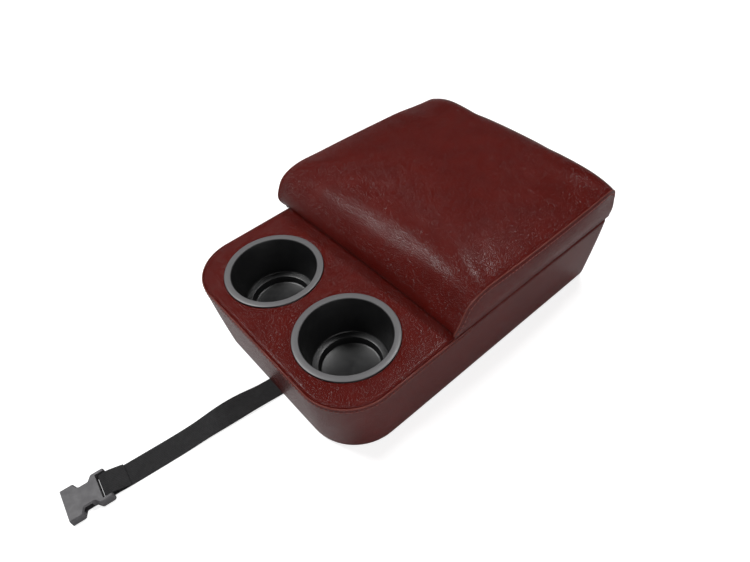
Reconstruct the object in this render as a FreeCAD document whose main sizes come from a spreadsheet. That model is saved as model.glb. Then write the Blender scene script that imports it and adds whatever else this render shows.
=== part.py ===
import FreeCAD, Part
import math
import os
import Sketcher
from types import SimpleNamespace

# Bench seat console: an upholstered plywood box with two drop-in cup holders in its front deck, a padded
# armrest lid hinged over a storage box, and a webbing strap that ends in the socket half of a side-release
# buckle. Millimetres, +X to the right, +Y to the rear, +Z up, origin at the middle of the footprint.

driving = {
    # Box
    "body_length": 374.0,
    "body_width": 264.0,
    "rim_height": 89.0,
    "wall_lean": 8.0,
    "front_corner": 52.0,
    "rear_corner": 7.0,
    "bottom_roll": 6.0,
    "vinyl": 1.2,
    "hem": 22.0,
    "board_fit": 0.2,
    "base_board": 9.0,
    "wall_board": 6.0,
    "rear_board": 9.0,
    "divider_board": 9.0,
    "liner": 2.0,
    "liner_inset": 6.0,
    "felt": 1.6,
    "felt_drop": 6.0,
    # Deck and cup holders
    "deck_length": 147.0,
    "deck_board": 9.0,
    "deck_foam": 8.2,
    "flap_drop": 10.0,
    "cup_spacing": 119.0,
    "cup_from_front": 67.0,
    "cup_flange_radius": 52.0,
    "cup_flange": 3.0,
    "cup_mouth_radius": 44.4,
    "cup_shoulder_radius": 39.0,
    "cup_shoulder_depth": 45.7,
    "cup_step_radius": 32.2,
    "cup_floor_radius": 30.0,
    "cup_depth": 54.0,
    "cup_wall": 2.0,
    "cup_clearance": 1.0,
    # Lid
    "lid_from_front": 133.5,
    "lid_side_height": 43.8,
    "lid_crown_height": 55.8,
    "crown_run": 30.0,
    "crown_radius": 60.0,
    "nose_lean": 26.0,
    "nose_radius": 45.0,
    "lid_rear_radius": 26.0,
    "lid_board": 9.0,
    "lid_board_setback": 8.0,
    "backing": 1.0,
    # Hinge
    "hinge_length": 198.0,
    "leaf": 0.8,
    "leaf_play": 0.6,
    "leaf_width": 15.0,
    "knuckle_radius": 2.2,
    "knuckle_gap": 0.3,
    "pin_radius": 1.2,
    "pin_clearance": 0.05,
    "screw_radius": 1.3,
    "screw_head_radius": 2.4,
    "screw_length": 8.5,
    "screw_clearance": 0.1,
    # Strap and buckle socket
    "strap_width": 25.0,
    "strap_thickness": 1.5,
    "strap_yaw": 6.0,
    "strap_notch_play": 6.0,
    "socket_thickness": 10.0,
    "socket_mouth_width": 36.0,
    "socket_waist_width": 23.0,
    "socket_lug": 3.5,
    "socket_slot_play": 2.0,
    "socket_bar_width": 3.5,
    "socket_bar_height": 3.0,
    "socket_wall": 2.0,
    "socket_side_wall": 3.5,
    "socket_edge": 1.2,
    "socket_end": 3.0,
    "socket_slot_end": 6.0,
    "socket_lug_end": 9.5,
    "socket_waist_start": 13.5,
    "socket_cavity_start": 16.0,
    "socket_waist_end": 23.0,
    "socket_mouth_start": 26.0,
    "socket_mouth_end": 38.0,
}
knuckle_count = 7
screw_count = 4

# Strap route from its sewn end under the box: distance along the strap from the front edge, and height
strap_route = [(-16, 1.25), (10, 1.25), (38, 4.6), (68, 4.2), (102, 0.8), (142, 0.8), (164, 0.9), (174, 1.8)]
strap_bar = (182, 5.0)
strap_return = [(176, 7.9), (163, 2.9)]
strap_loop_radius = 3.05

doc = FreeCAD.newDocument("bench_console")
sheet = doc.addObject("Spreadsheet::Sheet", "sizes")
for row, (name, value) in enumerate(driving.items(), 1):
    sheet.set(f"A{row}", name)
    sheet.set(f"B{row}", str(value))
    sheet.setAlias(f"B{row}", name)
doc.recompute()


class Size:
    # A number with the sheet expression that it stands for
    def __init__(self, value, text):
        self.value = value
        self.text = text

    def __add__(self, other):
        return Size(self.value + plain(other).value, f"({self.text} + {plain(other).text})")

    def __sub__(self, other):
        return Size(self.value - plain(other).value, f"({self.text} - {plain(other).text})")

    def __mul__(self, other):
        return Size(self.value * plain(other).value, f"({self.text} * {plain(other).text})")

    def __truediv__(self, other):
        return Size(self.value / plain(other).value, f"({self.text} / {plain(other).text})")

    def __neg__(self):
        return Size(-self.value, f"(-1 * {self.text})")


def plain(number):
    if isinstance(number, Size):
        return number
    return Size(number, str(number))


s = SimpleNamespace(**{name: Size(value, f"sizes.{name}") for name, value in driving.items()})
zero = plain(0)

# Places worked out from the driving sizes
hinge_offset = s.knuckle_radius + s.knuckle_gap
front = -(s.body_length + hinge_offset + s.knuckle_radius) / 2
rear = front + s.body_length
half_width = s.body_width / 2
core = s.vinyl + s.board_fit
inside = core + s.wall_board
base_low = s.liner + s.vinyl
base_top = base_low + s.base_board
wall_top = s.rim_height - s.vinyl
deck_low = s.rim_height - s.deck_foam - s.deck_board
deck_rear = front + s.deck_length
deck_top = s.rim_height + s.vinyl
cup_y = front + s.cup_from_front
lid_front = front + s.lid_from_front
lid_low = s.rim_height + s.leaf * 2 + s.leaf_play
lid_seam = lid_low + s.lid_side_height
lid_top = lid_low + s.lid_crown_height
board_low = lid_low + s.backing
board_top = board_low + s.lid_board
hinge_y = rear + hinge_offset
hinge_z = s.rim_height + s.leaf + s.leaf_play / 2
screw_y = rear - core - s.rear_board / 2
parts = []


def lean(height):
    return s.wall_lean * (s.rim_height - height) / s.rim_height


def bind(item, **sizes):
    for prop, size in sizes.items():
        item.setExpression(prop.replace("__", "."), plain(size).text)


def keep(item, label):
    item.Label = label
    parts.append(item)
    return item


def block(name, x, y, z):
    box = doc.addObject("Part::Box", name)
    bind(box, Length=x[1] - x[0], Width=y[1] - y[0], Height=z[1] - z[0])
    bind(box, Placement__Base__x=x[0], Placement__Base__y=y[0], Placement__Base__z=z[0])
    return box


def rod(name, radius, length, x, y, z, along_x=False):
    cylinder = doc.addObject("Part::Cylinder", name)
    if along_x:
        cylinder.Placement.Rotation = FreeCAD.Rotation(FreeCAD.Vector(0, 1, 0), 90)
    bind(cylinder, Radius=radius, Height=length)
    bind(cylinder, Placement__Base__x=x, Placement__Base__y=y, Placement__Base__z=z)
    return cylinder


def fuse(name, pieces):
    joined = doc.addObject("Part::MultiFuse", name)
    joined.Shapes = pieces
    joined.Refine = True
    return joined


def cut(name, base, *tools):
    result = doc.addObject("Part::Cut", name)
    result.Base = base
    result.Tool = tools[0] if len(tools) == 1 else fuse(name + "_tools", list(tools))
    result.Refine = True
    return result


def common(name, first, second):
    result = doc.addObject("Part::Common", name)
    result.Base = first
    result.Tool = second
    result.Refine = True
    return result


def origin_plane(body, role):
    return next(feature for feature in body.Origin.OriginFeatures if feature.Role == role)


def sketch_on(body, role):
    sketch = body.newObject("Sketcher::SketchObject", body.Name + "_sketch")
    sketch.AttachmentSupport = [(origin_plane(body, role), "")]
    sketch.MapMode = "FlatFace"
    return sketch


def polygon(sketch, corners):
    count = len(corners)
    places = [FreeCAD.Vector(plain(a).value, plain(b).value, 0) for a, b in corners]
    for i in range(count):
        sketch.addGeometry(Part.LineSegment(places[i], places[(i + 1) % count]))
    for i in range(count):
        sketch.addConstraint(Sketcher.Constraint("Coincident", i, 2, (i + 1) % count, 1))
    for i, (across, up) in enumerate(corners):
        for kind, size in (("DistanceX", plain(across)), ("DistanceY", plain(up))):
            number = sketch.addConstraint(Sketcher.Constraint(kind, -1, 1, i, 1, size.value))
            sketch.setExpression(f"Constraints[{number}]", size.text)


def pad(body, sketch, length, symmetric=False):
    feature = body.newObject("PartDesign::Pad", body.Name + "_pad")
    feature.Profile = sketch
    bind(feature, Length=length)
    if symmetric:
        feature.SideType = "Symmetric"
    doc.recompute()
    return feature


def rounded(body, base, radius, wanted):
    names = [f"Edge{i}" for i, edge in enumerate(base.Shape.Edges, 1) if wanted(edge)]
    feature = body.newObject("PartDesign::Fillet", body.Name + "_round")
    feature.Base = (base, names)
    bind(feature, Radius=radius)
    doc.recompute()
    return feature


def bevelled(body, base, size, wanted):
    names = [f"Edge{i}" for i, edge in enumerate(base.Shape.Edges, 1) if wanted(edge)]
    feature = body.newObject("PartDesign::Chamfer", body.Name + "_bevel")
    feature.Base = (base, names)
    bind(feature, Size=size)
    doc.recompute()
    return feature


def upright(edge):
    return abs(edge.tangentAt(edge.FirstParameter).z) > 0.7


def level_at(height):
    return lambda edge: edge.BoundBox.ZMax < plain(height).value + 0.01


# A box form whose walls lean in towards the floor, inset from the outside of the cover
def box_form(name, low, high, side, front_in, rear_in, round_rear=True, leaning=True):
    body = doc.addObject("PartDesign::Body", name)
    wedge = body.newObject("PartDesign::AdditiveWedge", name + "_wedge")
    wedge.AttachmentSupport = [(origin_plane(body, "XZ_Plane"), "")]
    wedge.MapMode = "FlatFace"
    low_in = lean(low) if leaning else zero
    high_in = lean(high) if leaning else zero
    bind(wedge, Ymin=low, Ymax=high)
    bind(wedge, Xmin=-(half_width - side - low_in), Xmax=half_width - side - low_in)
    bind(wedge, X2min=-(half_width - side - high_in), X2max=half_width - side - high_in)
    bind(wedge, Zmin=-(rear - rear_in - low_in), Zmax=-(front + front_in + low_in))
    bind(wedge, Z2min=-(rear - rear_in - high_in), Z2max=-(front + front_in + high_in))
    doc.recompute()
    middle = wedge.Shape.BoundBox.Center.y
    tip = rounded(body, wedge, s.front_corner - front_in,
                  lambda edge: upright(edge) and edge.CenterOfMass.y < middle)
    if round_rear:
        tip = rounded(body, tip, s.rear_corner - rear_in,
                      lambda edge: upright(edge) and edge.CenterOfMass.y > middle)
    return body, tip


# Under the box: a thin non-slip sheet with a notch where the strap comes out
liner_form, _ = box_form("liner_form", zero, s.liner, lean(zero) + s.liner_inset, lean(zero) + s.liner_inset,
                         lean(zero) + s.liner_inset, round_rear=False, leaning=False)
notch_half = s.strap_width / 2 + s.strap_notch_play
liner_front = front + lean(zero)
notch = block("strap_notch", (-notch_half, notch_half), (liner_front, liner_front + s.hem + s.liner_inset),
              (-s.liner, s.liner * 2))
keep(cut("bottom_liner", liner_form, notch), "bottom_liner")

# Plywood box
base_form, base_tip = box_form("base_form", base_low, base_top, core, core, core)
bevelled(base_form, base_tip, s.bottom_roll - core, level_at(base_low))
keep(base_form, "base_panel")

wall_outside, _ = box_form("wall_outside", base_top, wall_top, core, core, core)
wall_inside, _ = box_form("wall_inside", base_top - s.vinyl, s.rim_height, inside, inside, -s.wall_board,
                          round_rear=False)
deck_step = block("deck_step", (-half_width, half_width), (front, deck_rear), (deck_low, s.rim_height))
keep(cut("wall_band", wall_outside, wall_inside, deck_step), "wall_band")

rear_outside, _ = box_form("rear_outside", base_top, wall_top, inside + s.board_fit, inside, core,
                           round_rear=False)
rear_inside, _ = box_form("rear_inside", base_top - s.vinyl, s.rim_height, zero, zero, core + s.rear_board,
                          round_rear=False)
keep(cut("rear_panel", rear_outside, rear_inside), "rear_panel")

between_walls, _ = box_form("between_walls", base_top, deck_low, inside + s.board_fit, zero, zero,
                            round_rear=False)
divider_slab = block("divider_slab", (-half_width, half_width), (deck_rear - s.divider_board, deck_rear),
                     (base_top, deck_low))
keep(common("divider_panel", between_walls, divider_slab), "divider_panel")

# Deck: panel, foam and cover, each with two holes for the cup holders
cup_places = {"left": -s.cup_spacing / 2, "right": s.cup_spacing / 2}
cup_hole_radius = s.cup_mouth_radius + s.cup_wall + s.cup_clearance


def cup_holes(name):
    return [rod(f"{name}_{side}", cup_hole_radius, s.rim_height, x, cup_y, deck_low - s.liner)
            for side, x in cup_places.items()]


def deck_layer(name, low, high):
    form, _ = box_form(name + "_form", low, high, core, core, zero, round_rear=False)
    area = block(name + "_area", (-half_width, half_width), (front, deck_rear - s.board_fit), (low, high))
    return cut(name, common(name + "_plan", form, area), *cup_holes(name + "_hole"))


foam_low = deck_low + s.deck_board
keep(deck_layer("deck_panel", deck_low, foam_low), "deck_panel")
keep(deck_layer("deck_foam", foam_low, s.rim_height), "deck_foam")

cover_form, _ = box_form("cover_form", s.rim_height, deck_top, zero, zero, zero, round_rear=False,
                         leaning=False)
cover_area = block("cover_area", (-half_width, half_width), (front, deck_rear + s.vinyl),
                   (s.rim_height, deck_top))
flap_low = deck_low - s.flap_drop
flap_half = half_width - inside - lean(flap_low) - s.board_fit * 2
flap = block("deck_flap", (-flap_half, flap_half), (deck_rear, deck_rear + s.vinyl), (flap_low, deck_top))
cover_sheet = fuse("cover_sheet", [common("cover_plan", cover_form, cover_area), flap])
keep(cut("deck_cover", cover_sheet, *cup_holes("cover_hole")), "deck_cover")

# Skirt cover: wraps the walls, turns over the rim of the storage box and under the base
skirt_form, skirt_tip = box_form("skirt_form", s.liner, s.rim_height, zero, zero, zero)
rounded(skirt_form, skirt_tip, s.bottom_roll, level_at(s.liner))
skirt_space, space_tip = box_form("skirt_space", base_low, wall_top, s.vinyl, s.vinyl, s.vinyl)
bevelled(skirt_space, space_tip, s.bottom_roll - s.vinyl, level_at(base_low))
seam_space, _ = box_form("seam_space", wall_top - s.vinyl, deck_top, s.vinyl, s.vinyl, zero, round_rear=False)
seam_rear = deck_rear + s.vinyl + s.board_fit
seam_area = block("seam_area", (-half_width, half_width), (front, seam_rear), (wall_top - s.vinyl, deck_top))
rim_half = half_width - inside
rim_hole = block("rim_hole", (-rim_half, rim_half), (seam_rear - s.vinyl, rear - core - s.rear_board),
                 (wall_top - s.vinyl, deck_top))
hem_in = lean(zero) + s.hem
hem_hole = block("hem_hole", (-(half_width - hem_in), half_width - hem_in), (front + hem_in, rear - hem_in),
                 (zero, base_low + s.vinyl))
keep(cut("skirt_cover", skirt_form, skirt_space, common("seam_opening", seam_space, seam_area), rim_hole,
         hem_hole), "skirt_cover")

# Felt lining of the storage box
felt_top = wall_top - s.felt_drop
felt_front = deck_rear + s.vinyl + s.board_fit
felt_side = inside + s.board_fit
felt_rear = core + s.rear_board + s.board_fit


def felt_block(name, low, inset):
    form, _ = box_form(name + "_form", low, felt_top + inset, felt_side + inset, zero, felt_rear + inset,
                       round_rear=False)
    area = block(name + "_area", (-half_width, half_width), (felt_front + inset, rear),
                 (low, felt_top + inset))
    return common(name, form, area)


keep(cut("storage_lining", felt_block("felt_outside", base_top, zero),
         felt_block("felt_inside", base_top + s.felt, s.felt)), "storage_lining")


# Cup holders: one turned profile, dropped in from above
def cup_holder(label, x):
    body = doc.addObject("PartDesign::Body", label)
    sketch = sketch_on(body, "XZ_Plane")
    top = s.cup_flange
    shoulder = top - s.cup_shoulder_depth
    floor = top - s.cup_depth
    polygon(sketch, [(zero, floor), (s.cup_floor_radius, floor), (s.cup_step_radius, shoulder),
                     (s.cup_shoulder_radius, shoulder), (s.cup_mouth_radius, top), (s.cup_flange_radius, top),
                     (s.cup_flange_radius, zero), (s.cup_mouth_radius + s.cup_wall, zero),
                     (s.cup_shoulder_radius + s.cup_wall, shoulder - s.cup_wall),
                     (s.cup_step_radius + s.cup_wall, shoulder - s.cup_wall),
                     (s.cup_floor_radius + s.cup_wall, floor - s.cup_wall), (zero, floor - s.cup_wall)])
    turned = body.newObject("PartDesign::Revolution", label + "_turned")
    turned.Profile = sketch
    turned.ReferenceAxis = (sketch, ["V_Axis"])
    turned.Angle = 360
    bind(body, Placement__Base__x=x, Placement__Base__y=cup_y, Placement__Base__z=deck_top)
    keep(body, label)


for side, x in cup_places.items():
    cup_holder(f"cup_holder_{side}", x)


# Lid: a nose profile along the box, crowned across it
def lid_form(name, inset):
    body = doc.addObject("PartDesign::Body", name + "_profile")
    sketch = sketch_on(body, "YZ_Plane")
    top = lid_top - inset
    back = rear - inset
    nose = lid_front + s.nose_lean + inset
    polygon(sketch, [(lid_front + inset, lid_low), (nose, top), (back, top), (back, lid_low)])
    tip = pad(body, sketch, s.body_width - inset * 2, symmetric=True)
    tip = rounded(body, tip, s.nose_radius - inset, lambda edge: at(edge, nose, top))
    rounded(body, tip, s.lid_rear_radius - inset, lambda edge: at(edge, back, top))
    crown = doc.addObject("PartDesign::Body", name + "_crown")
    sketch = sketch_on(crown, "XZ_Plane")
    wide = half_width - inset
    run = wide - s.crown_run
    seam = lid_seam - inset
    polygon(sketch, [(-wide, lid_low), (wide, lid_low), (wide, seam), (run, top), (-run, top), (-wide, seam)])
    tip = pad(crown, sketch, s.body_length * 2, symmetric=True)
    long = s.body_length.value
    rounded(crown, tip, s.crown_radius - inset,
            lambda edge: edge.BoundBox.ZMin > top.value - 0.01 and edge.BoundBox.YLength > long)
    return common(name, body, crown)


def at(edge, y, z):
    centre = edge.CenterOfMass
    return abs(centre.y - y.value) < 0.01 and abs(centre.z - z.value) < 0.01


lid_outside = lid_form("lid_outside", zero)
lid_inside = lid_form("lid_inside", s.vinyl)
cover_half = half_width - s.vinyl
lid_span = ((lid_front, rear), (lid_low, lid_top))
left_slab = block("left_slab", (-half_width, -cover_half), *lid_span)
right_slab = block("right_slab", (cover_half, half_width), *lid_span)
keep(cut("lid_top_cover", lid_outside, lid_inside, left_slab, right_slab), "lid_top_cover")
keep(common("lid_side_cover_left", lid_outside, left_slab), "lid_side_cover_left")
keep(common("lid_side_cover_right", lid_outside, right_slab), "lid_side_cover_right")

board_space = block("board_space", (-half_width, half_width), (lid_front + s.lid_board_setback, rear),
                    (lid_low, board_top))
keep(cut("lid_foam", lid_inside, board_space), "lid_foam")

board_half = cover_half - s.board_fit
board_y = (lid_front + s.lid_board_setback + s.board_fit, rear - core)
keep(block("lid_board", (-board_half, board_half), board_y, (board_low, board_top)), "lid_board")
keep(block("lid_backing", (-board_half, board_half), board_y, (lid_low, board_low)), "lid_backing")

# Continuous hinge across the back: two leaves with alternate knuckles on one pin
knuckle_length = s.hinge_length / knuckle_count
hinge_start = -s.hinge_length / 2
leaf_y = (rear - s.leaf_width, rear)
screw_xs = [hinge_start + s.hinge_length * (i + 0.5) / screw_count for i in range(screw_count)]


def hinge_screw(name, x, z, turned):
    cone = doc.addObject("Part::Cone", name + "_head")
    bind(cone, Radius1=s.screw_radius, Radius2=s.screw_head_radius, Height=s.leaf)
    shank = doc.addObject("Part::Cylinder", name + "_shank")
    bind(shank, Radius=s.screw_radius, Height=s.screw_length)
    bind(shank, Placement__Base__z=-s.screw_length)
    screw = fuse(name, [cone, shank])
    if turned:
        screw.Placement.Rotation = FreeCAD.Rotation(FreeCAD.Vector(1, 0, 0), 180)
    bind(screw, Placement__Base__x=x, Placement__Base__y=screw_y, Placement__Base__z=z)
    return screw


def screw_hole(name, x, z, turned):
    cone = doc.addObject("Part::Cone", name)
    if turned:
        cone.Placement.Rotation = FreeCAD.Rotation(FreeCAD.Vector(1, 0, 0), 180)
    bind(cone, Radius1=s.screw_radius + s.screw_clearance, Radius2=s.screw_head_radius + s.screw_clearance)
    bind(cone, Height=s.leaf, Placement__Base__x=x, Placement__Base__y=screw_y, Placement__Base__z=z)
    return cone


# first: number of the leaf's first knuckle; seat: the face that lies on the wood; turned: leaf under the lid
def hinge_leaf(name, first, seat, turned):
    low = seat - s.leaf if turned else seat
    span = (low, low + s.leaf)
    pieces = [block(name + "_plate", (hinge_start, -hinge_start), leaf_y, span)]
    for i in range(first, knuckle_count, 2):
        x = hinge_start + knuckle_length * i + s.knuckle_gap / 2
        long = knuckle_length - s.knuckle_gap
        pieces.append(block(f"{name}_tongue_{i}", (x, x + long), (rear, hinge_y), span))
        pieces.append(rod(f"{name}_knuckle_{i}", s.knuckle_radius, long, x, hinge_y, hinge_z, along_x=True))
    bore = rod(name + "_bore", s.pin_radius + s.pin_clearance, s.hinge_length, hinge_start, hinge_y, hinge_z,
               along_x=True)
    holes = [screw_hole(f"{name}_hole_{i}", x, seat, turned) for i, x in enumerate(screw_xs)]
    keep(cut(name, fuse(name + "_solid", pieces), bore, *holes), name)


def hinge_screws(label, seat, turned):
    group = doc.addObject("Part::Compound", label)
    group.Links = [hinge_screw(f"{label}_{i}", x, seat, turned) for i, x in enumerate(screw_xs)]
    keep(group, label)


hinge_leaf("hinge_body_leaf", 0, s.rim_height, turned=False)
hinge_leaf("hinge_lid_leaf", 1, lid_low, turned=True)
keep(rod("hinge_pin", s.pin_radius, s.hinge_length, hinge_start, hinge_y, hinge_z, along_x=True), "hinge_pin")
hinge_screws("hinge_body_screws", s.rim_height, turned=False)
hinge_screws("hinge_lid_screws", lid_low, turned=True)


# Strap: flat webbing along straight runs and tangent arcs, folded back round the buckle's bar
def strap_place(distance, height):
    return FreeCAD.Vector(0, -distance, height)


def runs_and_arcs(points):
    edges = []
    start = points[0]
    for before, corner, after in zip(points, points[1:], points[2:]):
        come = corner - before
        leave = after - corner
        turn = come.getAngle(leave)
        trim = 0.45 * min(come.Length, leave.Length)
        first = corner - come.normalize() * trim
        last = corner + leave.normalize() * trim
        radius = trim / math.tan(turn / 2)
        inward = (last + first) * 0.5 - corner
        reach = radius / math.cos(turn / 2) - radius
        edges.append(Part.LineSegment(start, first).toShape())
        edges.append(Part.Arc(first, corner + inward.normalize() * reach, last).toShape())
        print(f"strap bend radius {radius:.0f} mm")
        start = last
    edges.append(Part.LineSegment(start, points[-1]).toShape())
    return edges


bar = strap_place(*strap_bar)
under_bar = bar - FreeCAD.Vector(0, 0, strap_loop_radius)
over_bar = bar + FreeCAD.Vector(0, 0, strap_loop_radius)
past_bar = bar - FreeCAD.Vector(0, strap_loop_radius, 0)
outward = [strap_place(*point) for point in strap_route] + [under_bar]
homeward = [over_bar] + [strap_place(*point) for point in strap_return]
loop = Part.Arc(under_bar, past_bar, over_bar).toShape()
strap_path = Part.Wire(runs_and_arcs(outward) + [loop] + runs_and_arcs(homeward))
wide = s.strap_width.value / 2
thin = s.strap_thickness.value / 2
start = outward[0]
corners = [start + FreeCAD.Vector(a * wide, 0, b * thin) for a, b in ((-1, -1), (1, -1), (1, 1), (-1, 1))]
section = Part.makePolygon(corners + corners[:1])
strap = doc.addObject("Part::Feature", "strap")
strap.Shape = strap_path.makePipeShell([section], True, False)
expected = strap_path.Length * s.strap_width.value * s.strap_thickness.value
if abs(strap.Shape.Volume / expected - 1) > 0.01:
    raise RuntimeError("the strap's volume does not match its length")
print(f"strap length along its middle {strap_path.Length:.1f} mm")
strap_turn = FreeCAD.Rotation(FreeCAD.Vector(0, 0, 1), -s.strap_yaw.value)
strap_exit = FreeCAD.Vector(0, (front + lean(zero)).value, 0)
strap.Placement = FreeCAD.Placement(strap_exit, strap_turn)
keep(strap, "strap")

# Buckle socket: flat moulding with a mouth for the prongs, open waist sides and a bar for the strap
lug_in = s.strap_width / 2 + s.socket_slot_play / 2
lug_out = lug_in + s.socket_lug
mouth_half = s.socket_mouth_width / 2
waist_half = s.socket_waist_width / 2
socket = doc.addObject("PartDesign::Body", "socket_moulding")
outline = [(lug_out, s.socket_end), (lug_out, -s.socket_lug_end), (waist_half, -s.socket_waist_start),
           (waist_half, -s.socket_waist_end), (mouth_half, -s.socket_mouth_start),
           (mouth_half, -s.socket_mouth_end)]
socket_sketch = sketch_on(socket, "XY_Plane")
polygon(socket_sketch, outline + [(-x, y) for x, y in reversed(outline)])
socket_tip = pad(socket, socket_sketch, s.socket_thickness)
behind_mouth = -s.socket_mouth_start.value
socket_tip = rounded(socket, socket_tip, s.socket_edge * 2,
                     lambda edge: upright(edge) and edge.CenterOfMass.y > behind_mouth - 1)
bevelled(socket, socket_tip, s.socket_edge,
         lambda edge: edge.BoundBox.ZLength < 0.01 and edge.BoundBox.YMax > behind_mouth - 1)
slot = block("socket_slot", (-lug_in, lug_in), (-s.socket_slot_end, s.socket_end * 2),
             (-s.socket_wall, s.socket_thickness * 2))
cavity_half = mouth_half - s.socket_side_wall
cavity = block("socket_cavity", (-cavity_half, cavity_half),
               (-s.socket_mouth_end * 2, -s.socket_cavity_start),
               (s.socket_wall, s.socket_thickness - s.socket_wall))
bar_body = doc.addObject("PartDesign::Body", "socket_bar")
bar_sketch = sketch_on(bar_body, "YZ_Plane")
bar_y = s.socket_bar_width / 2
bar_low = (s.socket_thickness - s.socket_bar_height) / 2
bar_high = bar_low + s.socket_bar_height
polygon(bar_sketch, [(-bar_y, bar_low), (bar_y, bar_low), (bar_y, bar_high), (-bar_y, bar_high)])
bar_tip = pad(bar_body, bar_sketch, lug_in * 2 + s.socket_lug, symmetric=True)
rounded(bar_body, bar_tip, s.socket_bar_height * 0.45, lambda edge: edge.BoundBox.XLength > lug_in.value)
socket_whole = fuse("socket_whole", [cut("socket_open", socket, slot, cavity), bar_body])
socket_place = strap_exit + strap_turn.multVec(strap_place(strap_bar[0], 0))
socket_whole.Placement = FreeCAD.Placement(socket_place, strap_turn)
keep(socket_whole, "buckle_socket")

doc.recompute()
faults = [item.Name for item in doc.Objects if "Invalid" in item.State or "Error" in item.State]
faults += [item.Label for item in parts if item.Shape.isNull() or not item.Shape.isValid()]
if faults:
    raise RuntimeError("failed: " + ", ".join(faults))

os.makedirs("parts", exist_ok=True)
for item in parts:
    item.Shape.exportStep(f"parts/{item.Label}.step")
    print(f"{item.Label}: {len(item.Shape.Solids)} solids, {item.Shape.Volume / 1000:.1f} cm3")
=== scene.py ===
import bpy
import bmesh
import math
from mathutils import Matrix, Vector, noise


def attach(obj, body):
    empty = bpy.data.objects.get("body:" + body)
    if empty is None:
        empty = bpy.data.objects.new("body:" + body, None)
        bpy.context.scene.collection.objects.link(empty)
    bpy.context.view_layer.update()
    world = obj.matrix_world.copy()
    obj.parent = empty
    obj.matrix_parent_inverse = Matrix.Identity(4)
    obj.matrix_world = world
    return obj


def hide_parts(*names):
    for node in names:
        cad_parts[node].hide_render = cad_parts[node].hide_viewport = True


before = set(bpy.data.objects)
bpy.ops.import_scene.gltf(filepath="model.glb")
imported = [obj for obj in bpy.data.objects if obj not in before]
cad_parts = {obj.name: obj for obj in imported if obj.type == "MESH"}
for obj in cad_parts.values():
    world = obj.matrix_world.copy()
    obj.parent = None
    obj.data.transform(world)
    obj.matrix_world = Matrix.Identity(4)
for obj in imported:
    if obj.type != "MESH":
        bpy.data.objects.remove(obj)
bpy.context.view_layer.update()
print("frame loaded")

# the box and lid share these, in metres
body = {"front": -0.18935, "rear": 0.18465, "half": 0.132, "rim": 0.089, "low": 0.002, "lean": 0.008,
        "deckRear": -0.04235, "cupX": 0.0595, "cupY": -0.12235}
hair = 0.0005                                 # nearer than this counts as lying on a plane


# small helpers for work in edit mode
def deselectAll():
    bpy.ops.object.select_all(action="DESELECT")


def only(obj):
    deselectAll()
    obj.select_set(True)
    bpy.context.view_layer.objects.active = obj


def enterEdit(obj):
    only(obj)
    bpy.ops.object.mode_set(mode="EDIT")
    bpy.ops.mesh.select_all(action="DESELECT")


def leaveEdit():
    bpy.ops.object.mode_set(mode="OBJECT")


def pickAll():
    bpy.ops.mesh.select_all(action="SELECT")


def pick(obj, kind, test):
    bpy.ops.mesh.select_mode(type=kind)
    mesh = bmesh.from_edit_mesh(obj.data)
    for part in {"VERT": mesh.verts, "EDGE": mesh.edges, "FACE": mesh.faces}[kind]:
        part.select_set(test(part))
    mesh.select_flush_mode()
    bmesh.update_edit_mesh(obj.data)


# tests for edges
def upright(e):
    return abs(e.verts[0].co.z - e.verts[1].co.z) > hair


def atFoot(e, z):
    return max(v.co.z for v in e.verts) < z + hair


def atTop(e, z):
    return min(v.co.z for v in e.verts) > z - hair


# the one big face left at the top or bottom of a slab with rounded corners
def capFace(f, direction):
    return f.normal.z * direction > 0.9 and len(f.verts) > 8


def moveVerts(obj, shift):
    for v in obj.data.vertices:
        v.co += shift(v.co, v.normal)
    obj.data.update()


def applyPlace():
    bpy.ops.object.transform_apply(location=True, rotation=True, scale=True)


def slab(name, low, high):
    deselectAll()
    middle = [(a + b) / 2 for a, b in zip(low, high)]
    bpy.ops.mesh.primitive_cube_add(size=1, location=middle)
    obj = bpy.context.object
    obj.name = name
    obj.scale = [b - a for a, b in zip(low, high)]
    applyPlace()
    return obj


def slices(axis, places):
    normal = [0, 0, 0]
    normal[axis] = 1
    for place in places:
        point = [0, 0, 0]
        point[axis] = place
        pickAll()
        bpy.ops.mesh.bisect(plane_co=point, plane_no=normal)


def steps(low, high, pitch):
    count = max(1, round((high - low) / pitch))
    return [low + (high - low) * i / count for i in range(1, count)]


def applyModifier(obj, kind, **settings):
    only(obj)
    modifier = obj.modifiers.new(kind.title(), kind)
    for key, value in settings.items():
        setattr(modifier, key, value)
    bpy.ops.object.modifier_apply(modifier=modifier.name)


def smooth(obj, degrees):
    only(obj)
    bpy.ops.object.shade_smooth_by_angle(angle=math.radians(degrees))


def tidyMesh(obj, merge=0.00002):
    enterEdit(obj)
    pickAll()
    bpy.ops.mesh.remove_doubles(threshold=merge)
    bpy.ops.mesh.normals_make_consistent(inside=False)
    leaveEdit()


def faceOutward(obj, place, direction):
    nearest = min(obj.data.polygons, key=lambda f: (f.center - Vector(place)).length)
    if nearest.normal.dot(Vector(direction)) < 0:
        enterEdit(obj)
        pickAll()
        bpy.ops.mesh.flip_normals()
        leaveEdit()


# points at even distances along a line
def evenly(points, count):
    runs = [0.0]
    for a, b in zip(points, points[1:]):
        runs.append(runs[-1] + (b - a).length)
    result = []
    for i in range(count + 1):
        want = runs[-1] * i / count
        k = next((j for j in range(1, len(runs)) if runs[j] >= want - 1e-9), len(runs) - 1)
        span = runs[k] - runs[k - 1]
        result.append(points[k - 1].lerp(points[k], (want - runs[k - 1]) / span if span else 0))
    return result


def paint(obj, material):
    obj.data.materials.clear()
    obj.data.materials.append(material)


def dress(obj, material, slot, owner, *replaced):
    paint(obj, material)
    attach(obj, owner)
    if replaced:
        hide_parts(*replaced)
    return obj


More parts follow.
